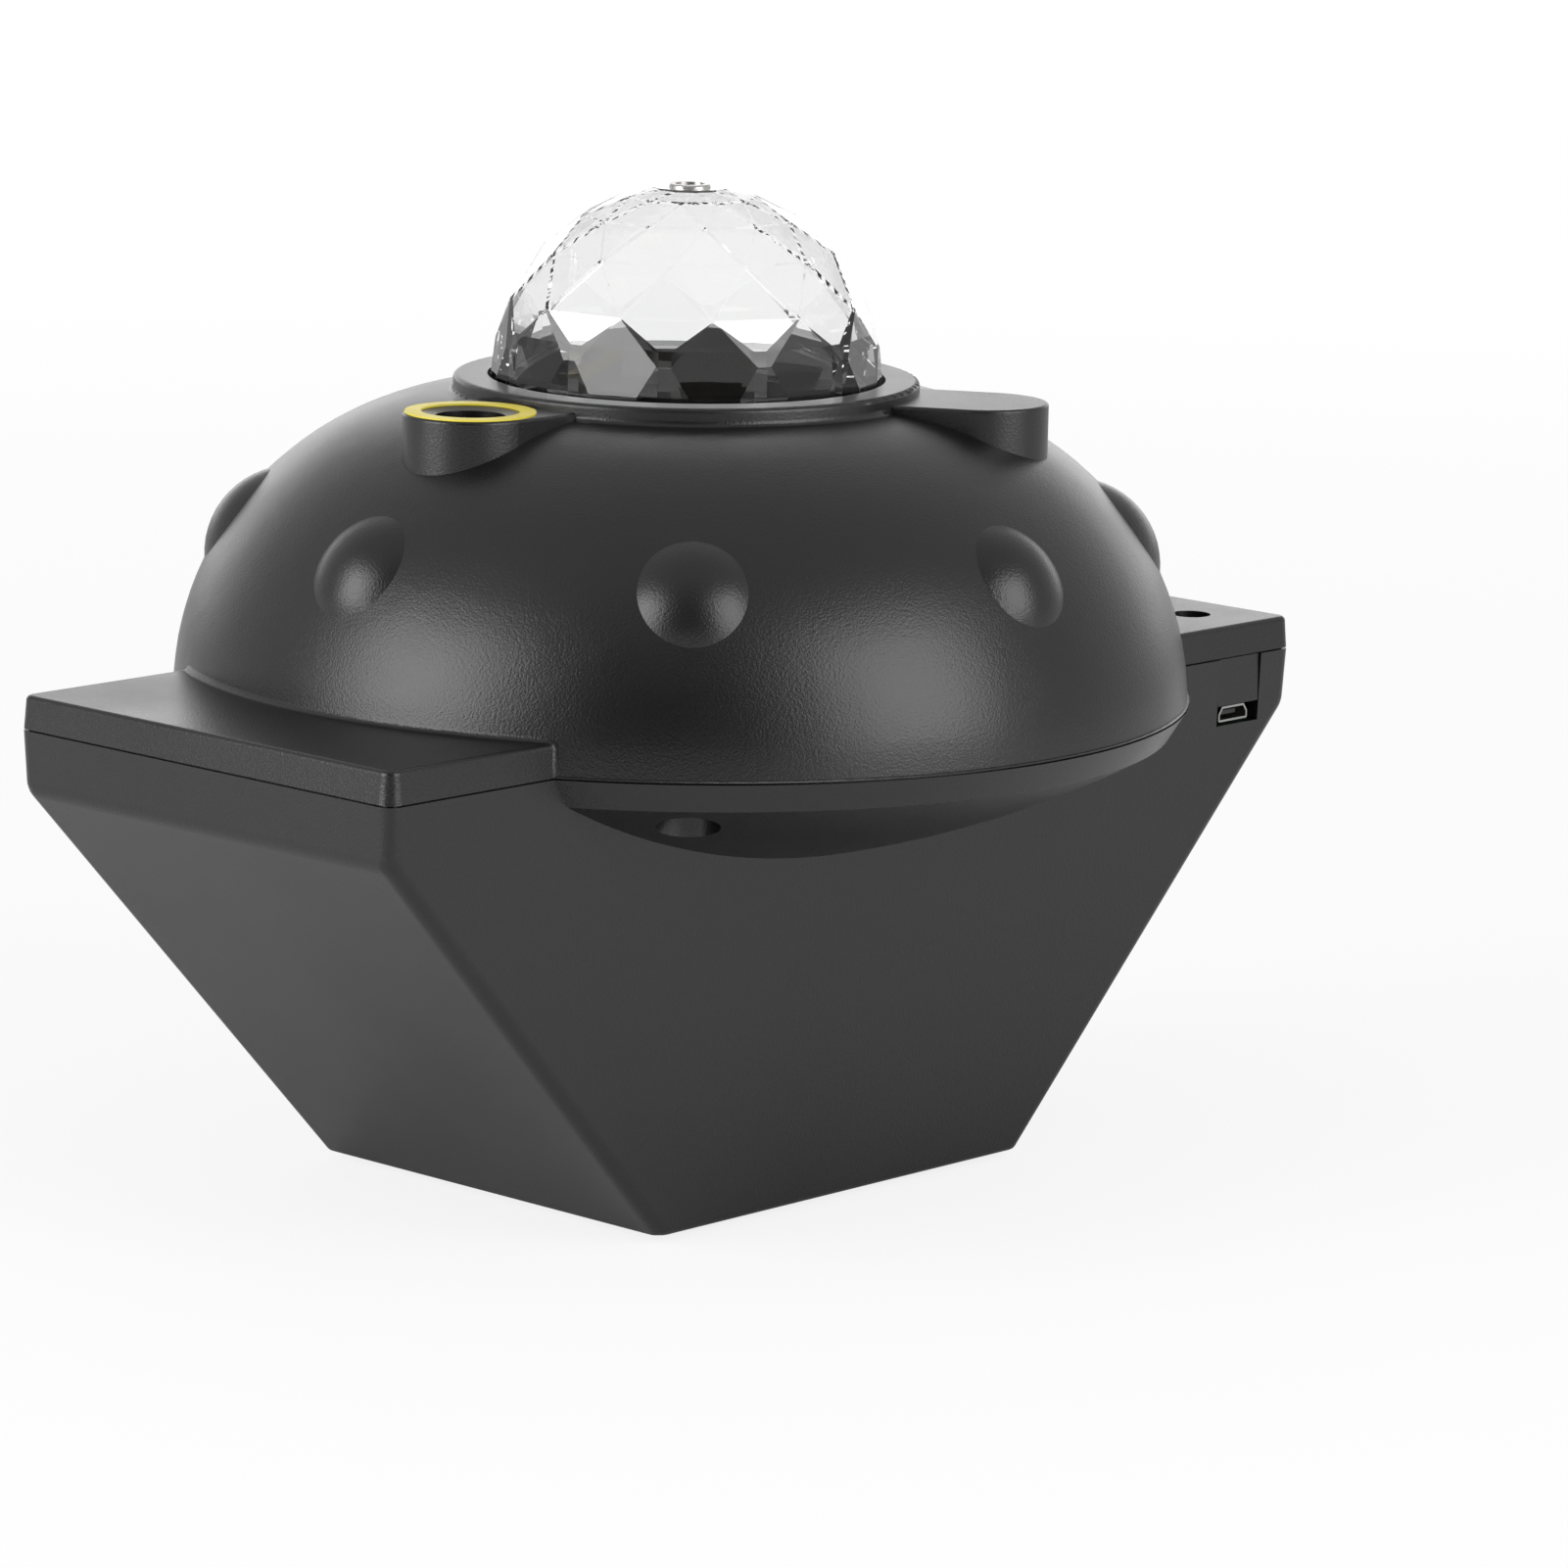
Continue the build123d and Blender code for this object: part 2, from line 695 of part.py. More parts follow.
# The tips between the lowest facets lie in the planes of those facets
first_row_z = row_height(crystal_radius, 0)
first_row_radius = row_radius(crystal_radius, 0)
girdle_flat_radius = girdle_radius * cos(radians(facet_angle / 4))
facet_lean = (girdle_flat_radius - first_row_radius) / (first_row_z - girdle_z)
tip_z = crystal_centre_z + crystal_radius * sin(radians(tip_latitude))
tip_flat_radius = first_row_radius + facet_lean * (first_row_z - tip_z)
tip_turn = radians(facet_angle / 2 - tip_half_angle)
tip_radius = tip_flat_radius / cos(tip_turn)

facet_points = rows_of_points(crystal_radius)
for side in (-1, 1):
    facet_points += ring_points(girdle_radius, crystal_low_z, side * facet_angle / 4)
    facet_points += ring_points(girdle_radius, girdle_z, side * facet_angle / 4)
    facet_points += ring_points(tip_radius, tip_z, facet_angle / 2 + side * tip_half_angle)

# Inside, the lowest facets stand almost upright and the rest run level with the outer ones
half_facet_share = cos(radians(facet_angle / 2))
tip_run = tip_radius * cos(radians(tip_half_angle)) - first_row_radius * half_facet_share
tip_lean = tip_run / (first_row_z - tip_z)
inner_row_radius = row_radius(inner_crystal_radius, 0)
inner_tip_radius = (inner_row_radius + inner_facet_draft) / cos(tip_turn)
inner_tip_run = inner_tip_radius * cos(radians(tip_half_angle)) - inner_row_radius * half_facet_share
inner_tip_z = row_height(inner_crystal_radius, 0) - inner_tip_run / tip_lean

inner_points = rows_of_points(inner_crystal_radius)
for side in (-1, 1):
    for height in (crystal_low_z - cut_overrun, inner_tip_z):
        inner_points += ring_points(inner_tip_radius, height, facet_angle / 2 + side * tip_half_angle)

crystal_top_z = row_height(crystal_radius, -1)
crystal_roof = crystal_top_z - row_height(inner_crystal_radius, -1)

with BuildPart() as crystal_dome:
    ConvexPolyhedron(facet_points)
    ConvexPolyhedron(inner_points, mode=Mode.SUBTRACT)
    with Locations((0, 0, crystal_top_z)):
        Cylinder(apex_shank_radius + press_gap, 2 * crystal_roof + cut_overrun, mode=Mode.SUBTRACT)
save(crystal_dome, "crystal_dome")

# Apex rivet: hollow head on a plain shank
with BuildPart() as apex_rivet:
    with Locations((0, 0, crystal_top_z)):
        Cylinder(apex_head_radius, apex_head_height, align=(Align.CENTER, Align.CENTER, Align.MIN))
        Cylinder(apex_shank_radius, crystal_roof, align=(Align.CENTER, Align.CENTER, Align.MAX))
    chamfer(apex_rivet.faces().sort_by(Axis.Z)[-1].edges(), length=apex_head_height * apex_bevel_share)
    with Locations((0, 0, crystal_top_z + apex_head_height)):
        Cylinder(apex_bore_radius, apex_head_height * apex_bore_share,
                 align=(Align.CENTER, Align.CENTER, Align.MAX), mode=Mode.SUBTRACT)
        Cylinder(apex_socket_radius, apex_socket_depth,
                 align=(Align.CENTER, Align.CENTER, Align.MAX), mode=Mode.SUBTRACT)
save(apex_rivet, "apex_rivet")

# Motor, its shaft and the carrier that the clear dome stands on
neck_top_z = motor_top_z + motor_neck_height
shaft_low_z = neck_top_z - motor_bearing_depth
shaft_top_z = neck_top_z + motor_shaft_length
hub_low_z = neck_top_z + moving_gap

with BuildPart() as gear_motor:
    with BuildSketch(Plane.XY.offset(motor_top_z - motor_height)):
        with Locations((motor_offset, 0)):
            Circle(motor_radius)
    extrude(amount=motor_height)
    fillet(gear_motor.faces().sort_by(Axis.Z)[0].edges(), radius=motor_ear_thickness)
    with BuildSketch(Plane.XY.offset(motor_top_z)):
        with Locations(*ear_places):
            Circle(motor_ear_radius)
        with Locations((motor_offset, 0)):
            Rectangle(2 * motor_ear_radius, 2 * motor_ear_reach)
        with Locations(*ear_places):
            Circle(screw_shank_radius + slip_gap, mode=Mode.SUBTRACT)
    extrude(amount=-motor_ear_thickness)
    with Locations((0, 0, motor_top_z)):
        Cylinder(motor_neck_radius, motor_neck_height, align=(Align.CENTER, Align.CENTER, Align.MIN))
    with Locations((0, 0, neck_top_z)):
        Cylinder(motor_shaft_radius + running_gap, motor_bearing_depth,
                 align=(Align.CENTER, Align.CENTER, Align.MAX), mode=Mode.SUBTRACT)
save(gear_motor, "gear_motor")

with BuildPart() as motor_shaft:
    with Locations((0, 0, shaft_low_z)):
        Cylinder(motor_shaft_radius, shaft_top_z - shaft_low_z, align=(Align.CENTER, Align.CENTER, Align.MIN))
    chamfer(motor_shaft.faces().sort_by(Axis.Z)[-1].edges(), length=motor_shaft_radius * shaft_bevel_share)
save(motor_shaft, "motor_shaft")

carrier_radius = girdle_radius - carrier_margin
carrier_bore_radius = carrier_radius - carrier_wall
carrier_low_z = led_board_top_z + led_height + led_lens_height + carrier_arm_gap
carrier_arm_z = carrier_low_z + carrier_arm_thickness
with BuildPart() as carrier:
    with BuildSketch(Plane.XY.offset(carrier_low_z)):
        Circle(carrier_radius)
        Circle(carrier_bore_radius, mode=Mode.SUBTRACT)
    extrude(amount=crystal_low_z - carrier_low_z)
    with BuildSketch(Plane.XY.offset(carrier_low_z)):
        with PolarLocations(0, carrier_arm_count):
            Rectangle(carrier_radius - carrier_margin, carrier_arm_width, align=(Align.MIN, Align.CENTER))
    extrude(amount=carrier_arm_thickness)
    with Locations((0, 0, hub_low_z)):
        Cylinder(hub_radius, carrier_arm_z - hub_low_z, align=(Align.CENTER, Align.CENTER, Align.MIN))
        Cylinder(motor_shaft_radius + press_gap, shaft_top_z - hub_low_z + press_gap,
                 align=(Align.CENTER, Align.CENTER, Align.MIN), mode=Mode.SUBTRACT)
save(carrier, "carrier")

# Light plate under the collar, with two standoffs for the motor
shaft_hole_radius = hub_radius + moving_gap
with BuildPart() as light_plate:
    with BuildSketch(Plane.XY.offset(plate_low_z)):
        Circle(collar_radius)
        Circle(shaft_hole_radius, mode=Mode.SUBTRACT)
        with Locations(*plate_screw_places):
            Circle(screw_shank_radius + slip_gap, mode=Mode.SUBTRACT)
    extrude(amount=plate_thickness)
    with BuildSketch(Plane.XY.offset(motor_top_z)):
        with Locations(*ear_places):
            Circle(standoff_radius)
    extrude(amount=standoff_height)
    with BuildSketch(Plane.XY.offset(motor_top_z)):
        with Locations(*ear_places):
            Circle(screw_shank_radius + press_gap)
    extrude(amount=standoff_height + plate_thickness / 2, mode=Mode.SUBTRACT)
save(light_plate, "light_plate")

with BuildPart() as led_board:
    with BuildSketch(Plane.XY.offset(seat_z)):
        Circle(led_board_radius)
        Circle(shaft_hole_radius, mode=Mode.SUBTRACT)
    extrude(amount=board_thickness)
save(led_board, "led_board")

with BuildPart() as led_emitters:
    with BuildSketch(Plane.XY.offset(led_board_top_z)):
        with PolarLocations(led_ring_radius, led_count):
            Rectangle(led_size, led_size)
    extrude(amount=led_height)
    with BuildSketch(Plane.XY.offset(led_board_top_z + led_height)):
        with PolarLocations(led_ring_radius, led_count):
            Circle(led_size * led_lens_share)
    extrude(amount=led_lens_height)
save(led_emitters, "led_emitters")

# Laser: barrel in the sleeve, lens in its mouth, plain ring on the boss
barrel_top_z = boss_top_z - aperture_depth
with BuildPart() as laser_barrel:
    with BuildSketch(Plane.XY.offset(barrel_top_z)):
        with Locations(laser_place):
            Circle(barrel_radius)
    extrude(amount=-barrel_length)
    chamfer(laser_barrel.faces().sort_by(Axis.Z)[0].edges(), length=sleeve_wall / 2)
    with BuildSketch(Plane.XY.offset(barrel_top_z)):
        with Locations(laser_place):
            Circle(lens_radius + press_gap)
    extrude(amount=-lens_thickness, mode=Mode.SUBTRACT)
    with BuildSketch(Plane.XY.offset(barrel_top_z - lens_thickness)):
        with Locations(laser_place):
            Circle(barrel_bore_radius)
    extrude(amount=-barrel_bore_depth, mode=Mode.SUBTRACT)
save(laser_barrel, "laser_barrel")

lens_axis = Plane(origin=(*laser_place, barrel_top_z), x_dir=(1, 0, 0), z_dir=(0, -1, 0))
with BuildPart() as laser_lens:
    with BuildSketch(lens_axis):
        with BuildLine():
            Polyline((0, lens_crown), (0, -lens_thickness), (lens_radius, -lens_thickness), (lens_radius, 0))
            RadiusArc((lens_radius, 0), (0, lens_crown), -(lens_radius**2 + lens_crown**2) / (2 * lens_crown))
        make_face()
    revolve(axis=Axis((*laser_place, 0), (0, 0, 1)))
save(laser_lens, "laser_lens")

with BuildPart() as aperture_ring:
    with BuildSketch(Plane.XY.offset(boss_top_z)):
        with Locations(laser_place):
            Circle(boss_radius - ring_margin)
            Circle(aperture_bevel_radius, mode=Mode.SUBTRACT)
    extrude(amount=ring_thickness)
save(aperture_ring, "aperture_ring")


# Small screws, pointing down from a seat or up from it
def small_screws(places, seat, length, upward):
    reach = Align.MIN if upward else Align.MAX
    away = Align.MAX if upward else Align.MIN
    with BuildPart() as screws:
        with Locations((0, 0, seat)):
            with Locations(*places):
                Cylinder(screw_shank_radius, length, align=(Align.CENTER, Align.CENTER, reach))
                Cylinder(screw_head_radius, screw_head_height, align=(Align.CENTER, Align.CENTER, away))
        slot_z = seat - screw_head_height if upward else seat + screw_head_height
        with Locations((0, 0, slot_z)):
            with Locations(*places):
                Box(2 * screw_head_radius, screw_slot_width, 2 * screw_slot_depth, mode=Mode.SUBTRACT)
                Box(screw_slot_width, 2 * screw_head_radius, 2 * screw_slot_depth, mode=Mode.SUBTRACT)
    return screws


save(small_screws(plate_screw_places, plate_low_z, plate_screw_length, True), "plate_screws")
save(small_screws(ear_places, motor_top_z - motor_ear_thickness, motor_screw_length, True), "motor_screws")
save(small_screws(control_post_places, control_board_z, board_screw_length, True), "control_screws")
save(small_screws(main_post_places, main_board_top_z, board_screw_length, False), "board_screws")
save(small_screws(speaker_screw_places, flange_top_z, speaker_screw_length, False), "speaker_screws")

with BuildPart() as case_screws:
    with Locations((0, 0, case_seat_z)):
        with Locations(*case_screw_places):
            Cylinder(case_shank_radius, case_screw_length, align=(Align.CENTER, Align.CENTER, Align.MIN))
            Cylinder(case_head_radius, case_head_height, align=(Align.CENTER, Align.CENTER, Align.MAX))
    with Locations((0, 0, case_seat_z - case_head_height)):
        with Locations(*case_screw_places):
            Box(2 * case_head_radius, screw_slot_width, 2 * screw_slot_depth, mode=Mode.SUBTRACT)
            Box(screw_slot_width, 2 * case_head_radius, 2 * screw_slot_depth, mode=Mode.SUBTRACT)
save(case_screws, "case_screws")

# Buttons: cap in the hole, flange under the wing, stem with a pin in the switch
pin_low_z = switch_top_z - pin_reach
for number, place in enumerate(button_places, start=1):
    with BuildPart() as button:
        with BuildSketch(Plane.XY.offset(ceiling_z - flange_thickness)):
            with Locations(place):
                Circle(flange_radius)
        extrude(amount=flange_thickness)
        with BuildSketch(Plane.XY.offset(ceiling_z)):
            with Locations(place):
                Circle(control_hole_radius - moving_gap)
        extrude(amount=lid_wall - cap_recess)
        fillet(button.faces().sort_by(Axis.Z)[-1].edges(), radius=(lid_wall - cap_recess) / 2)
        with BuildSketch(Plane.XY.offset(switch_top_z + stem_shoulder_gap)):
            with Locations(place):
                Circle(stem_radius)
        extrude(amount=ceiling_z - flange_thickness - switch_top_z - stem_shoulder_gap)
        with BuildSketch(Plane.XY.offset(pin_low_z)):
            with Locations(place):
                Circle(pin_radius)
        extrude(amount=pin_reach + stem_shoulder_gap)
    save(button, f"button_{number}")

with BuildPart() as button_switches:
    with BuildSketch(Plane.XY.offset(control_board_top_z)):
        with Locations(*button_places):
            Rectangle(switch_size, switch_size)
    extrude(amount=switch_height)
    with BuildSketch(Plane.XY.offset(switch_top_z)):
        with Locations(*button_places):
            Circle(pin_radius + running_gap)
    extrude(amount=-switch_bore_depth, mode=Mode.SUBTRACT)
save(button_switches, "button_switches")

control_board_end = end_reach(control_board_z) - end_wall - control_board_margin
control_board_half_width = side_reach(control_board_z) - hull_wall - control_board_margin
with BuildPart() as control_board:
    with BuildSketch(Plane.XY.offset(control_board_z)):
        with Locations((control_board_end, 0)):
            Rectangle(control_board_length, 2 * control_board_half_width, align=(Align.MAX, Align.CENTER))
        with Locations(*control_post_places):
            Circle(screw_shank_radius + slip_gap, mode=Mode.SUBTRACT)
    extrude(amount=board_thickness)
save(control_board, "control_board")

# Infra-red receiver under its window
receiver_low_z = ceiling_z - flange_thickness - receiver_height
with BuildPart() as ir_receiver:
    with BuildSketch(Plane.XY.offset(receiver_low_z)):
        with Locations(window_place):
            Rectangle(receiver_length, receiver_width)
    extrude(amount=receiver_height)
    with BuildSketch(Plane.XY.offset(control_board_top_z)):
        with Locations(window_place):
            with GridLocations(0, receiver_lead_pitch, 1, 3):
                Circle(receiver_lead_radius)
    extrude(amount=receiver_low_z - control_board_top_z)
save(ir_receiver, "ir_receiver")

with BuildPart() as ir_window:
    with BuildSketch(Plane.XY.offset(ceiling_z - flange_thickness)):
        with Locations(window_place):
            Circle(flange_radius)
    extrude(amount=flange_thickness)
    with BuildSketch(Plane.XY.offset(ceiling_z)):
        with Locations(window_place):
            Circle(control_hole_radius - slip_gap)
    extrude(amount=lid_wall - cap_recess)
    fillet(ir_window.faces().sort_by(Axis.Z)[-1].edges(), radius=(lid_wall - cap_recess) / 2)
save(ir_window, "ir_window")

microphone_place = (control_post_x - control_post_spread / 2, 0)
with BuildPart() as microphone:
    with BuildSketch(Plane.XY.offset(control_board_top_z)):
        with Locations(microphone_place):
            Circle(microphone_radius)
    extrude(amount=microphone_height)
    with BuildSketch(Plane.XY.offset(control_board_top_z + microphone_height)):
        with Locations(microphone_place):
            Circle(microphone_port_radius)
    extrude(amount=-microphone_port_depth, mode=Mode.SUBTRACT)
save(microphone, "microphone")

# Micro-USB inlet: folded metal shell, narrower at the top, with its contact tongue
usb_face = Plane.XZ.offset(band_half_width - usb_recess)
with BuildPart() as usb_shell:
    with BuildSketch(usb_face) as usb_profile:
        with BuildLine():
            right_side = [
                (usb_x + usb_width / 2, usb_centre_z - usb_height / 2),
                (usb_x + usb_width / 2, usb_centre_z),
                (usb_x + usb_width / 2 - usb_taper, usb_centre_z + usb_height / 2),
            ]
            left_side = [(2 * usb_x - x, z) for x, z in reversed(right_side)]
            Polyline(*right_side, *left_side, close=True)
        make_face()
        fillet(usb_profile.vertices(), radius=usb_plate)
    extrude(amount=-usb_depth)
    with BuildSketch(usb_face):
        add(usb_profile.sketch)
        offset(amount=-usb_plate, mode=Mode.REPLACE)
    extrude(amount=-(usb_depth - usb_plate), mode=Mode.SUBTRACT)
save(usb_shell, "usb_shell")

with BuildPart() as usb_tongue:
    with BuildSketch(usb_face.offset(-(usb_depth - usb_plate))):
        with Locations((usb_x, usb_centre_z)):
            Rectangle(tongue_width, tongue_thickness)
    extrude(amount=tongue_length)
save(usb_tongue, "usb_tongue")

# Main board on its posts
with BuildPart() as main_board:
    with BuildSketch(Plane.XY.offset(main_board_z)):
        Rectangle(main_board_length, main_board_width)
        with Locations(*main_post_places):
            Circle(screw_shank_radius + slip_gap, mode=Mode.SUBTRACT)
    extrude(amount=board_thickness)
save(main_board, "main_board")

with BuildPart() as main_chips:
    with BuildSketch(Plane.XY.offset(main_board_top_z)):
        with Locations((0, -main_board_width * chip_row_share)):
            with GridLocations(chip_pitch, 0, 2, 1):
                Rectangle(chip_length, chip_width)
    extrude(amount=chip_height)
save(main_chips, "main_chips")

with BuildPart() as capacitors:
    with BuildSketch(Plane.XY.offset(main_board_top_z)):
        with Locations((0, main_board_width * capacitor_row_share)):
            with GridLocations(capacitor_pitch, 0, 3, 1):
                Circle(capacitor_radius)
    extrude(amount=capacitor_height)
    fillet(capacitors.faces().group_by(Axis.Z)[-1].edges(), radius=capacitor_radius * capacitor_edge_share)
save(capacitors, "capacitors")

# Speaker, mouth down: frame with its basket, paper cone and magnet
basket_top_z = flange_top_z + basket_height
basket_foot_radius = speaker_mouth_radius + 2 * cone_lap + basket_wall
with BuildPart() as speaker_frame:
    with BuildSketch(Plane.XY.offset(speaker_z)):
        RectangleRounded(speaker_side, speaker_side, speaker_corner_radius)
        Circle(speaker_mouth_radius, mode=Mode.SUBTRACT)
        with Locations(*speaker_screw_places):
            Circle(screw_shank_radius + slip_gap, mode=Mode.SUBTRACT)
    extrude(amount=speaker_flange)
    with BuildSketch(Plane.XZ):
        with BuildLine():
            Polyline(
                (basket_foot_radius - basket_wall, flange_top_z),
                (basket_foot_radius, flange_top_z),
                (basket_top_radius, basket_top_z),
                (0, basket_top_z),
                (0, basket_top_z - basket_wall),
                (basket_top_radius - basket_wall, basket_top_z - basket_wall),
                close=True,
            )
        make_face()
    revolve(axis=Axis.Z)
save(speaker_frame, "speaker_frame")

cone_rim_radius = speaker_mouth_radius - surround_width
with BuildPart() as speaker_cone:
    with BuildSketch(Plane.XZ):
        with BuildLine():
            Polyline(
                (0, flange_top_z + cone_depth),
                (0, flange_top_z + cone_depth + cone_wall),
                (cone_throat_radius, flange_top_z + cone_depth + cone_wall),
                (cone_rim_radius, flange_top_z + cone_wall),
                (speaker_mouth_radius + cone_lap, flange_top_z + cone_wall),
                (speaker_mouth_radius + cone_lap, flange_top_z),
                (cone_rim_radius, flange_top_z),
                (cone_throat_radius, flange_top_z + cone_depth),
                close=True,
            )
        make_face()
    revolve(axis=Axis.Z)
save(speaker_cone, "speaker_cone")

with BuildPart() as speaker_magnet:
    with BuildSketch(Plane.XY.offset(basket_top_z)):
        Circle(magnet_radius)
    extrude(amount=magnet_height)
    chamfer(speaker_magnet.edges(), length=magnet_height * magnet_bevel_share)
save(speaker_magnet, "speaker_magnet")

# Feet in their recesses
for number, place in enumerate(foot_places, start=1):
    with BuildPart() as foot:
        with BuildSketch():
            with Locations(place):
                Circle(foot_radius)
        extrude(amount=foot_thickness)
        fillet(foot.faces().sort_by(Axis.Z)[0].edges(), radius=foot_edge_radius)
    save(foot, f"foot_{number}")
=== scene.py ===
# Projector lamp on a pale studio floor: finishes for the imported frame, light and camera
import bpy
import math
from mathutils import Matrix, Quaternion, Vector

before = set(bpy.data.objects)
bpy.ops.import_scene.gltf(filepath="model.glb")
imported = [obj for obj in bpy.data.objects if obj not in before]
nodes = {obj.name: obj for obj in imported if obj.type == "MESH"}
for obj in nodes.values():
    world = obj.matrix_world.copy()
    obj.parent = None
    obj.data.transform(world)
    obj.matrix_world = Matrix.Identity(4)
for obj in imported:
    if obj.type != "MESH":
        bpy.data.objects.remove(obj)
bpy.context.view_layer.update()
scene = bpy.context.scene
scene.view_settings.view_transform = "Standard"

mixSockets = {"FLOAT": (2, 3, 0), "RGBA": (6, 7, 2)}  # first input, second input and output of each kind


# Node helpers: a value that comes in may be a socket or a plain number
def addNode(tree, kind, x, y, **settings):
    node = tree.nodes.new(kind)
    node.location = (x, y)
    for key, value in settings.items():
        setattr(node, key, value)
    return node


def setInputs(node, **values):
    for key, value in values.items():
        node.inputs[key.replace("_", " ")].default_value = value


def feed(tree, value, socket):
    if isinstance(value, bpy.types.NodeSocket):
        tree.links.new(value, socket)
    else:
        socket.default_value = value


def addMath(tree, x, y, operation, first, second):
    node = addNode(tree, "ShaderNodeMath", x, y, operation=operation)
    feed(tree, first, node.inputs[0])
    feed(tree, second, node.inputs[1])
    return node.outputs[0]


def addMix(tree, x, y, kind, share, first, second):
    node = addNode(tree, "ShaderNodeMix", x, y, data_type=kind)
    firstSlot, secondSlot, outSlot = mixSockets[kind]
    feed(tree, share, node.inputs[0])
    feed(tree, first, node.inputs[firstSlot])
    feed(tree, second, node.inputs[secondSlot])
    return node.outputs[outSlot]


def addRange(tree, x, y, value, span, levels=(0.0, 1.0)):
    node = addNode(tree, "ShaderNodeMapRange", x, y)
    setInputs(node, From_Min=span[0], From_Max=span[1], To_Min=levels[0], To_Max=levels[1])
    feed(tree, value, node.inputs["Value"])
    return node.outputs[0]


def addFacing(tree, x, y, direction, axis):
    node = addNode(tree, "ShaderNodeVectorMath", x, y, operation="DOT_PRODUCT")
    feed(tree, direction, node.inputs[0])
    feed(tree, axis, node.inputs[1])
    return node.outputs["Value"]


def newGroup(name, inputs, outputs):
    tree = bpy.data.node_groups.new(name, "ShaderNodeTree")
    for socketName, kind, value in inputs:
        socket = tree.interface.new_socket(socketName, in_out="INPUT", socket_type=kind)
        socket.default_value = value
    for socketName, kind in outputs:
        tree.interface.new_socket(socketName, in_out="OUTPUT", socket_type=kind)
    groupIn = addNode(tree, "NodeGroupInput", -900, 0)
    groupOut = addNode(tree, "NodeGroupOutput", 600, 0)
    return tree, groupIn.outputs, groupOut.inputs


# Moulded grain: fine pits left by a spark-eroded mould, in object space so it rides with the piece
grainLook = {"fineDetail": 2.0, "fineRoughness": 0.55, "coarseRatio": 0.37}


def makeMouldGrain(look):
    tree, given, result = newGroup(
        "mouldGrain",
        [("Scale", "NodeSocketFloat", 1800.0), ("Coarse Share", "NodeSocketFloat", 0.35)],
        [("Height", "NodeSocketFloat")],
    )
    place = addNode(tree, "ShaderNodeTexCoord", -700, 200).outputs["Object"]
    fine = addNode(tree, "ShaderNodeTexNoise", -450, 260)
    setInputs(fine, Detail=look["fineDetail"], Roughness=look["fineRoughness"])
    coarse = addNode(tree, "ShaderNodeTexVoronoi", -450, -60)
    coarseScale = addMath(tree, -650, -160, "MULTIPLY", given["Scale"], look["coarseRatio"])
    tree.links.new(given["Scale"], fine.inputs["Scale"])
    tree.links.new(coarseScale, coarse.inputs["Scale"])
    for texture in (fine, coarse):
        tree.links.new(place, texture.inputs["Vector"])
    pits = coarse.outputs["Distance"]
    height = addMix(tree, -150, 100, "FLOAT", given["Coarse Share"], fine.outputs[0], pits)
    tree.links.new(height, result["Height"])
    return tree


# Tone drift: slow changes of shade and polish over a surface
driftLook = {"detail": 4.0, "roughness": 0.6, "span": (0.3, 0.7)}


def makeToneDrift(look):
    tree, given, result = newGroup(
        "toneDrift",
        [
            ("Tone", "NodeSocketColor", (0.5, 0.5, 0.5, 1)),
            ("Second Tone", "NodeSocketColor", (0.4, 0.4, 0.4, 1)),
            ("Scale", "NodeSocketFloat", 30.0),
            ("Smooth", "NodeSocketFloat", 0.3),
            ("Rough", "NodeSocketFloat", 0.5),
        ],
        [("Color", "NodeSocketColor"), ("Roughness", "NodeSocketFloat")],
    )
    place = addNode(tree, "ShaderNodeTexCoord", -700, 200).outputs["Object"]
    clouds = addNode(tree, "ShaderNodeTexNoise", -450, 200)
    setInputs(clouds, Detail=look["detail"], Roughness=look["roughness"])
    tree.links.new(place, clouds.inputs["Vector"])
    tree.links.new(given["Scale"], clouds.inputs["Scale"])
    drift = addRange(tree, -220, 200, clouds.outputs[0], look["span"])
    tint = addMix(tree, 50, 200, "RGBA", drift, given["Tone"], given["Second Tone"])
    polish = addMix(tree, 50, -100, "FLOAT", drift, given["Smooth"], given["Rough"])
    tree.links.new(tint, result["Color"])
    tree.links.new(polish, result["Roughness"])
    return tree


mouldGrain = makeMouldGrain(grainLook)
toneDrift = makeToneDrift(driftLook)
print("node groups ready")


# One finish: tone drift for colour and polish, grain for the bump, the rest on the shader's own sockets
plainFinish = {
    "driftScale": 30, "grainScale": 1800, "coarseShare": 0.35,
    "grainStrength": 0.2, "grainDepth": 0.00005, "shader": {},
}


def makeFinish(name, ownLook):
    look = {**plainFinish, **ownLook}
    material = bpy.data.materials.new(name)
    material.use_nodes = True
    tree = material.node_tree
    shader = tree.nodes["Principled BSDF"]
    tone = addNode(tree, "ShaderNodeGroup", -500, 200, node_tree=toneDrift)
    setInputs(tone, Tone=(*look["tone"], 1), Second_Tone=(*look["secondTone"], 1), Scale=look["driftScale"])
    setInputs(tone, Smooth=look["smooth"], Rough=look["rough"])
    grain = addNode(tree, "ShaderNodeGroup", -700, -200, node_tree=mouldGrain)
    setInputs(grain, Scale=look["grainScale"], Coarse_Share=look["coarseShare"])
    bump = addNode(tree, "ShaderNodeBump", -300, -200)
    setInputs(bump, Strength=look["grainStrength"], Distance=look["grainDepth"])
    tree.links.new(tone.outputs["Color"], shader.inputs["Base Color"])
    tree.links.new(tone.outputs["Roughness"], shader.inputs["Roughness"])
    tree.links.new(grain.outputs["Height"], bump.inputs["Height"])
    tree.links.new(bump.outputs["Normal"], shader.inputs["Normal"])
    for socketName, value in look["shader"].items():
        shader.inputs[socketName].default_value = value
    return material


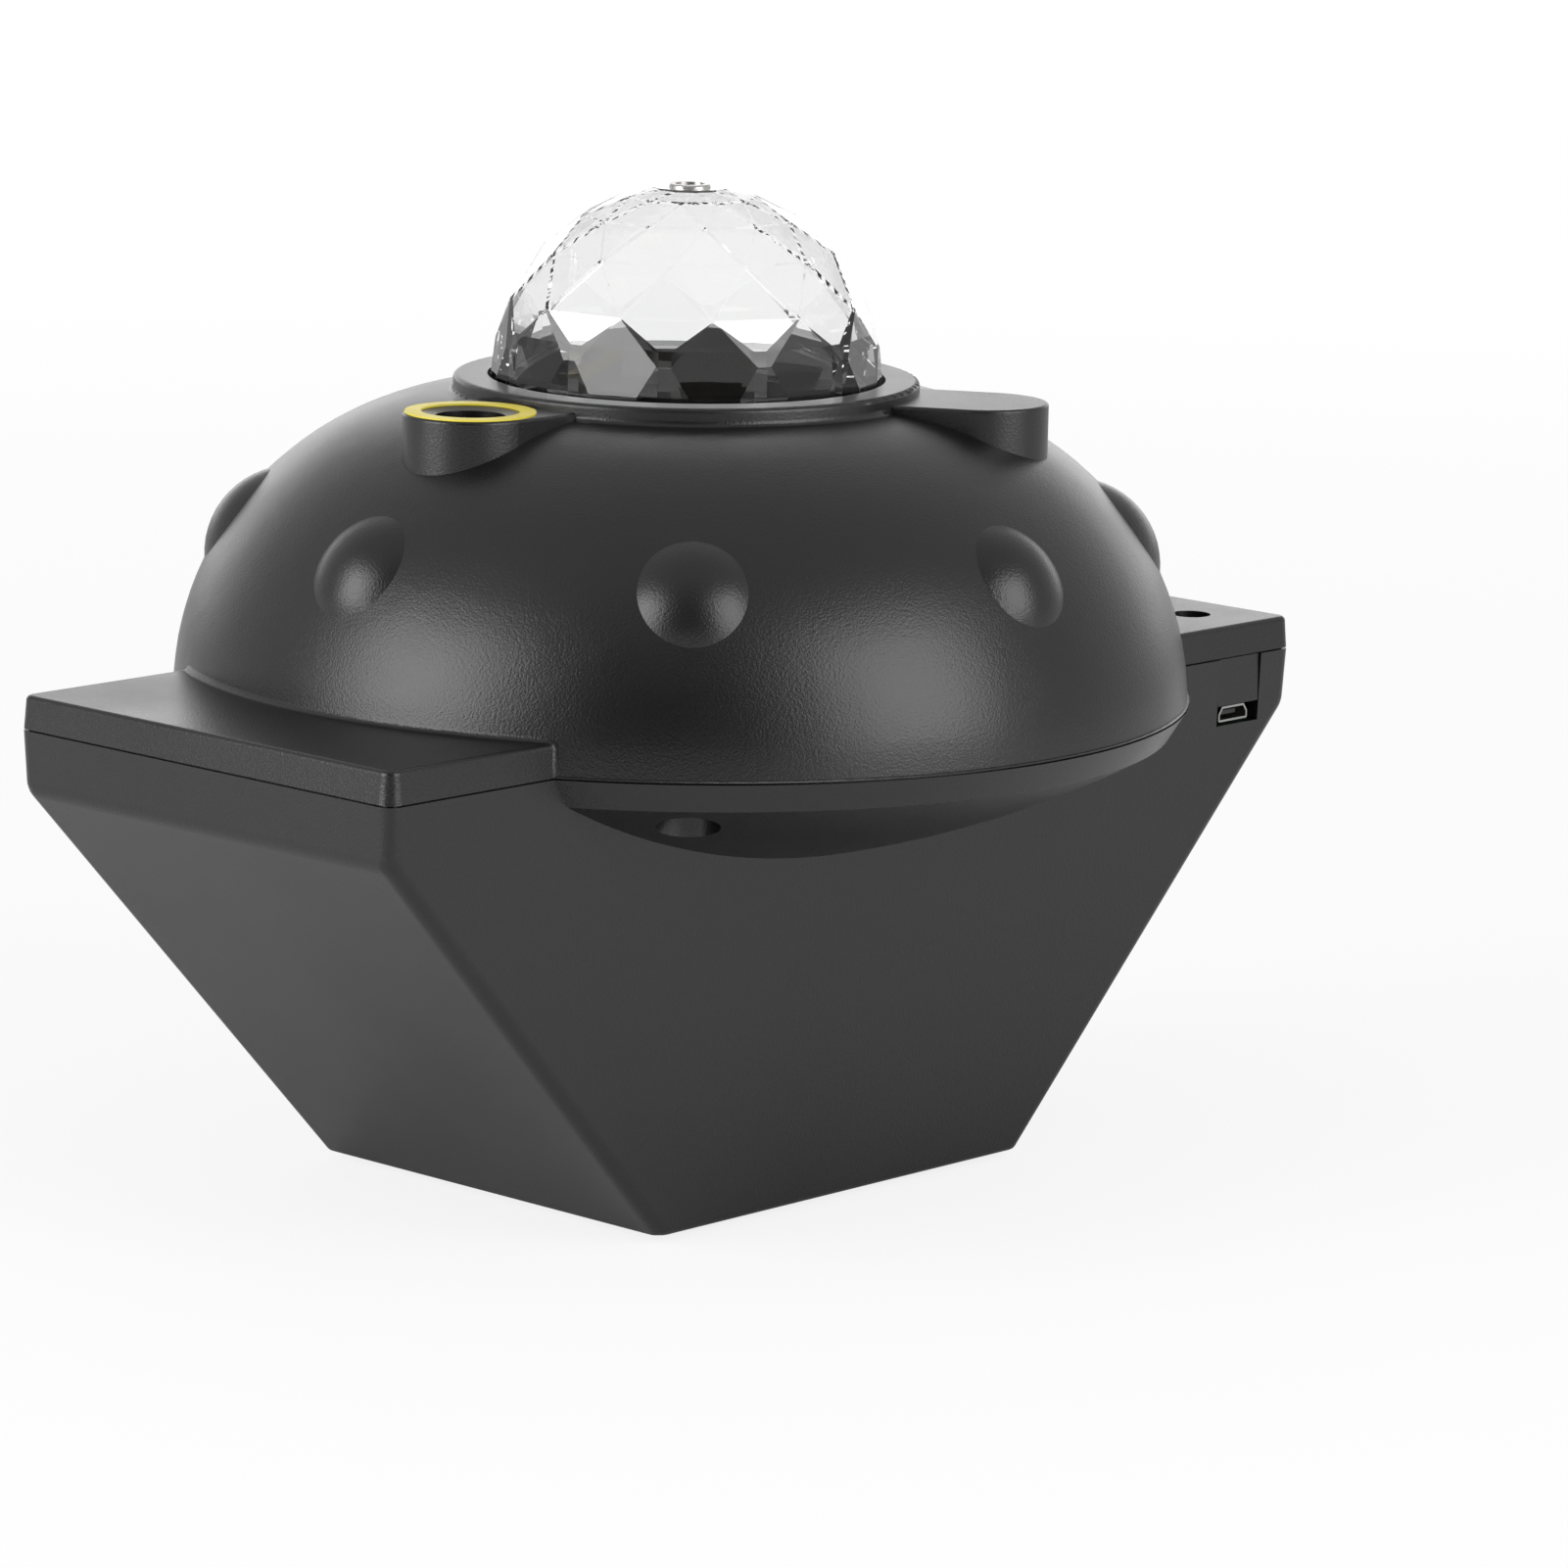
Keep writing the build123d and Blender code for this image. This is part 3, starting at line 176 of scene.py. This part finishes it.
finishes = {
    "black_plastic": {
        "tone": (0.0052, 0.0052, 0.0054), "secondTone": (0.0064, 0.0064, 0.0066),
        "smooth": 0.27, "rough": 0.34, "driftScale": 24,
        "grainScale": 2500, "grainStrength": 1.0, "grainDepth": 0.00006, "coarseShare": 0.08,
        "shader": {"IOR": 1.5},
    },
    "button_plastic": {
        "tone": (0.010, 0.010, 0.010), "secondTone": (0.014, 0.014, 0.014),
        "smooth": 0.3, "rough": 0.42, "driftScale": 90,
        "grainScale": 2600, "grainStrength": 0.25, "grainDepth": 0.00004,
        "shader": {"IOR": 1.5},
    },
    "clear_plastic": {
        "tone": (1.0, 1.0, 1.0), "secondTone": (0.996, 0.998, 0.998),
        "smooth": 0.0, "rough": 0.012, "driftScale": 60,
        "grainScale": 300, "grainStrength": 0.02, "grainDepth": 0.00002, "coarseShare": 0.0,
        "shader": {"IOR": 1.53, "Transmission Weight": 1.0},
    },
    "yellow_trim": {
        "tone": (0.72, 0.61, 0.055), "secondTone": (0.68, 0.56, 0.045),
        "smooth": 0.35, "rough": 0.5, "driftScale": 120,
        "grainScale": 3000, "grainStrength": 0.15,
    },
    "lens_glass": {
        "tone": (0.90, 0.92, 0.95), "secondTone": (0.86, 0.90, 0.95),
        "smooth": 0.02, "rough": 0.05, "driftScale": 200,
        "grainStrength": 0.02,
        "shader": {"IOR": 1.52, "Transmission Weight": 1.0},
    },
    "dark_window": {
        "tone": (0.020, 0.006, 0.008), "secondTone": (0.014, 0.004, 0.006),
        "smooth": 0.06, "rough": 0.14, "driftScale": 200,
        "grainStrength": 0.05,
        "shader": {"Coat Weight": 0.6, "Coat Roughness": 0.05},
    },
    "brass": {
        "tone": (0.60, 0.42, 0.17), "secondTone": (0.52, 0.35, 0.13),
        "smooth": 0.22, "rough": 0.38, "driftScale": 160,
        "grainScale": 2500, "grainStrength": 0.12,
        "shader": {"Metallic": 1.0},
    },
    "steel": {
        "tone": (0.58, 0.57, 0.55), "secondTone": (0.46, 0.45, 0.44),
        "smooth": 0.22, "rough": 0.4, "driftScale": 160,
        "grainScale": 2500, "grainStrength": 0.12,
        "shader": {"Metallic": 1.0},
    },
    "port_steel": {
        "tone": (0.40, 0.40, 0.39), "secondTone": (0.33, 0.33, 0.32),
        "smooth": 0.2, "rough": 0.34, "driftScale": 220,
        "grainScale": 3000, "grainStrength": 0.1,
        "shader": {"Metallic": 1.0},
    },
    "motor_can": {
        "tone": (0.50, 0.50, 0.49), "secondTone": (0.42, 0.42, 0.42),
        "smooth": 0.3, "rough": 0.45, "driftScale": 90,
        "grainScale": 2000, "grainStrength": 0.15,
        "shader": {"Metallic": 1.0},
    },
    "dark_board": {
        "tone": (0.012, 0.012, 0.013), "secondTone": (0.018, 0.018, 0.018),
        "smooth": 0.3, "rough": 0.45, "driftScale": 60,
        "grainScale": 1400, "grainStrength": 0.12,
    },
    "light_chip": {
        "tone": (0.85, 0.66, 0.18), "secondTone": (0.80, 0.58, 0.12),
        "smooth": 0.25, "rough": 0.4, "driftScale": 300,
        "grainStrength": 0.1,
    },
    "green_board": {
        "tone": (0.020, 0.110, 0.045), "secondTone": (0.014, 0.085, 0.034),
        "smooth": 0.25, "rough": 0.4, "driftScale": 60,
        "grainStrength": 0.12,
    },
    "component_black": {
        "tone": (0.020, 0.020, 0.021), "secondTone": (0.028, 0.028, 0.028),
        "smooth": 0.4, "rough": 0.55, "driftScale": 120,
        "grainStrength": 0.25,
    },
    "component_metal": {
        "tone": (0.62, 0.62, 0.63), "secondTone": (0.52, 0.52, 0.53),
        "smooth": 0.25, "rough": 0.4, "driftScale": 160,
        "grainStrength": 0.1,
        "shader": {"Metallic": 1.0},
    },
    "speaker_steel": {
        "tone": (0.10, 0.10, 0.10), "secondTone": (0.14, 0.14, 0.14),
        "smooth": 0.35, "rough": 0.5, "driftScale": 60,
        "grainStrength": 0.2,
        "shader": {"Metallic": 0.6},
    },
    "speaker_paper": {
        "tone": (0.035, 0.034, 0.032), "secondTone": (0.055, 0.052, 0.048),
        "smooth": 0.75, "rough": 0.9, "driftScale": 250,
        "grainScale": 900, "grainStrength": 0.5, "grainDepth": 0.0001,
    },
    "magnet": {
        "tone": (0.055, 0.054, 0.055), "secondTone": (0.085, 0.083, 0.082),
        "smooth": 0.45, "rough": 0.65, "driftScale": 90,
        "grainStrength": 0.3,
    },
    "rubber": {
        "tone": (0.022, 0.022, 0.022), "secondTone": (0.034, 0.034, 0.033),
        "smooth": 0.65, "rough": 0.85, "driftScale": 120,
        "grainScale": 1200, "grainStrength": 0.4,
    },
}

madeFinishes = {name: makeFinish(name, look) for name, look in finishes.items()}
print("finishes made:", len(madeFinishes))

# Each piece takes the finish of its slot in the record
for name, node in nodes.items():
    for slot in node.material_slots:
        finishName = slot.material.name.split(".")[0]
        slot.material = madeFinishes[finishName]
        print(name, "takes", finishName)

# Light crosses the walls of the clear dome many times before it leaves
clearBounces = 48
scene.cycles.max_bounces = clearBounces
scene.cycles.transmission_bounces = clearBounces
scene.cycles.glossy_bounces = clearBounces

# Studio floor: white to the camera and through the clear dome, with the shadow kept near the lamp
floorLook = {
    "size": 12.0, "drop": 0.0001, "tone": (0.88, 0.88, 0.88, 1), "roughness": 0.9,
    "shadowShare": 0.16, "shadowUntil": 0.3, "whiteFrom": 1.1,
}


def makeFloor(look):
    bpy.ops.mesh.primitive_plane_add(size=look["size"], location=(0, 0, -look["drop"]))
    floor = bpy.context.object
    floor.name = "studioFloor"
    material = bpy.data.materials.new("studioFloor")
    material.use_nodes = True
    tree = material.node_tree
    shader = tree.nodes["Principled BSDF"]
    setInputs(shader, Base_Color=look["tone"], Roughness=look["roughness"])
    glow = addNode(tree, "ShaderNodeEmission", 0, -200)
    mix = addNode(tree, "ShaderNodeMixShader", 300, 0)
    place = addNode(tree, "ShaderNodeTexCoord", -900, 700).outputs["Object"]
    away = addNode(tree, "ShaderNodeVectorMath", -600, 700, operation="LENGTH")
    tree.links.new(place, away.inputs[0])
    fade = (look["shadowUntil"], look["whiteFrom"])
    whiteShare = addRange(tree, -300, 700, away.outputs["Value"], fade, (1 - look["shadowShare"], 1.0))
    rays = addNode(tree, "ShaderNodeLightPath", -600, 400).outputs
    seen = addMath(tree, -300, 400, "MAXIMUM", rays["Is Camera Ray"], rays["Is Transmission Ray"])
    tree.links.new(addMath(tree, 0, 400, "MULTIPLY", seen, whiteShare), mix.inputs[0])
    tree.links.new(shader.outputs[0], mix.inputs[1])
    tree.links.new(glow.outputs[0], mix.inputs[2])
    tree.links.new(mix.outputs[0], tree.nodes["Material Output"].inputs["Surface"])
    floor.data.materials.append(material)


# World: a white backdrop stands low behind the lamp, and the room over and before it is dim
worldLook = {
    "tone": (1, 1, 1, 1),
    "backdropSide": (0.732, 0.681, 0.0), "backdropSpan": (0.55, 0.94),
    "backdrop": 2.0, "backdropHeight": (0.45, 0.20),
    "cameraSide": (-0.731, -0.680, 0.05), "roomSpan": (0.4, 0.95),
    "ceiling": 0.62, "dim": 0.04, "seenWhite": 1.0,
}


def makeWorld(look):
    world = bpy.data.worlds.new("whiteStudio")
    scene.world = world
    world.use_nodes = True
    tree = world.node_tree
    background = tree.nodes["Background"]
    setInputs(background, Color=look["tone"])
    direction = addNode(tree, "ShaderNodeTexCoord", -1000, -200).outputs["Generated"]
    rays = addNode(tree, "ShaderNodeLightPath", -600, 200).outputs
    parts = addNode(tree, "ShaderNodeSeparateXYZ", -800, -700)
    tree.links.new(direction, parts.inputs[0])
    toBackdrop = addFacing(tree, -800, -100, direction, look["backdropSide"])
    toCamera = addFacing(tree, -800, -400, direction, look["cameraSide"])
    backdrop = addRange(tree, -600, -100, toBackdrop, look["backdropSpan"], (0.0, look["backdrop"]))
    room = addRange(tree, -600, -400, toCamera, look["roomSpan"], (look["ceiling"], look["dim"]))
    low = addRange(tree, -600, -700, parts.outputs["Z"], look["backdropHeight"])
    lowBackdrop = addMath(tree, -400, -500, "MULTIPLY", backdrop, low)
    # gloss shows the backdrop, and matt surfaces take no light from it
    mirrored = addMath(tree, -400, -350, "MULTIPLY", lowBackdrop, rays["Is Glossy Ray"])
    around = addMath(tree, -200, -200, "MAXIMUM", mirrored, room)
    seen = addMath(tree, -400, 200, "MAXIMUM", rays["Is Camera Ray"], rays["Is Transmission Ray"])
    strength = addMix(tree, 0, 0, "FLOAT", seen, around, look["seenWhite"])
    tree.links.new(strength, background.inputs["Strength"])


# Two softboxes, left and right of the camera
studioLights = {
    "leftSoftbox": {
        "place": (-1.142, 0.350, 0.470), "aim": (0, 0, 0.09),
        "wide": 0.82, "tall": 0.85, "power": 12.0,
    },
    "rightSoftbox": {
        "place": (0.119, -1.154, 0.530), "aim": (0, 0, 0.09),
        "wide": 0.85, "tall": 0.95, "power": 10.0,
    },
}


def makeLights(lights):
    for name, look in lights.items():
        data = bpy.data.lights.new(name, "AREA")
        data.shape = "RECTANGLE"
        data.size = look["wide"]
        data.size_y = look["tall"]
        data.energy = look["power"]
        lamp = bpy.data.objects.new(name, data)
        lamp.location = look["place"]
        aim = Vector(look["aim"]) - Vector(look["place"])
        lamp.rotation_mode = "QUATERNION"
        lamp.rotation_quaternion = aim.to_track_quat("-Z", "Y")
        scene.collection.objects.link(lamp)


# Camera at the photograph's viewing angle, a long lens from the front left
cameraLook = {
    "place": (-0.824459, -0.790414, 0.288357),
    "forward": (0.71823, 0.66826, -0.19380),
    "roll": 1.2107,
    "lens": 164.11,
    "sensor": 36.0,
    "nearest": 0.05,
    "farthest": 50,
}


def makeCamera(look):
    data = bpy.data.cameras.new("studioCamera")
    data.sensor_width = look["sensor"]
    data.lens = look["lens"]
    data.clip_start = look["nearest"]
    data.clip_end = look["farthest"]
    camera = bpy.data.objects.new("studioCamera", data)
    camera.location = look["place"]
    camera.rotation_mode = "QUATERNION"
    aim = Vector(look["forward"]).to_track_quat("-Z", "Y")
    camera.rotation_quaternion = aim @ Quaternion((0, 0, 1), math.radians(look["roll"]))
    scene.collection.objects.link(camera)
    scene.camera = camera


makeFloor(floorLook)
makeWorld(worldLook)
makeLights(studioLights)
makeCamera(cameraLook)
print("studio ready")
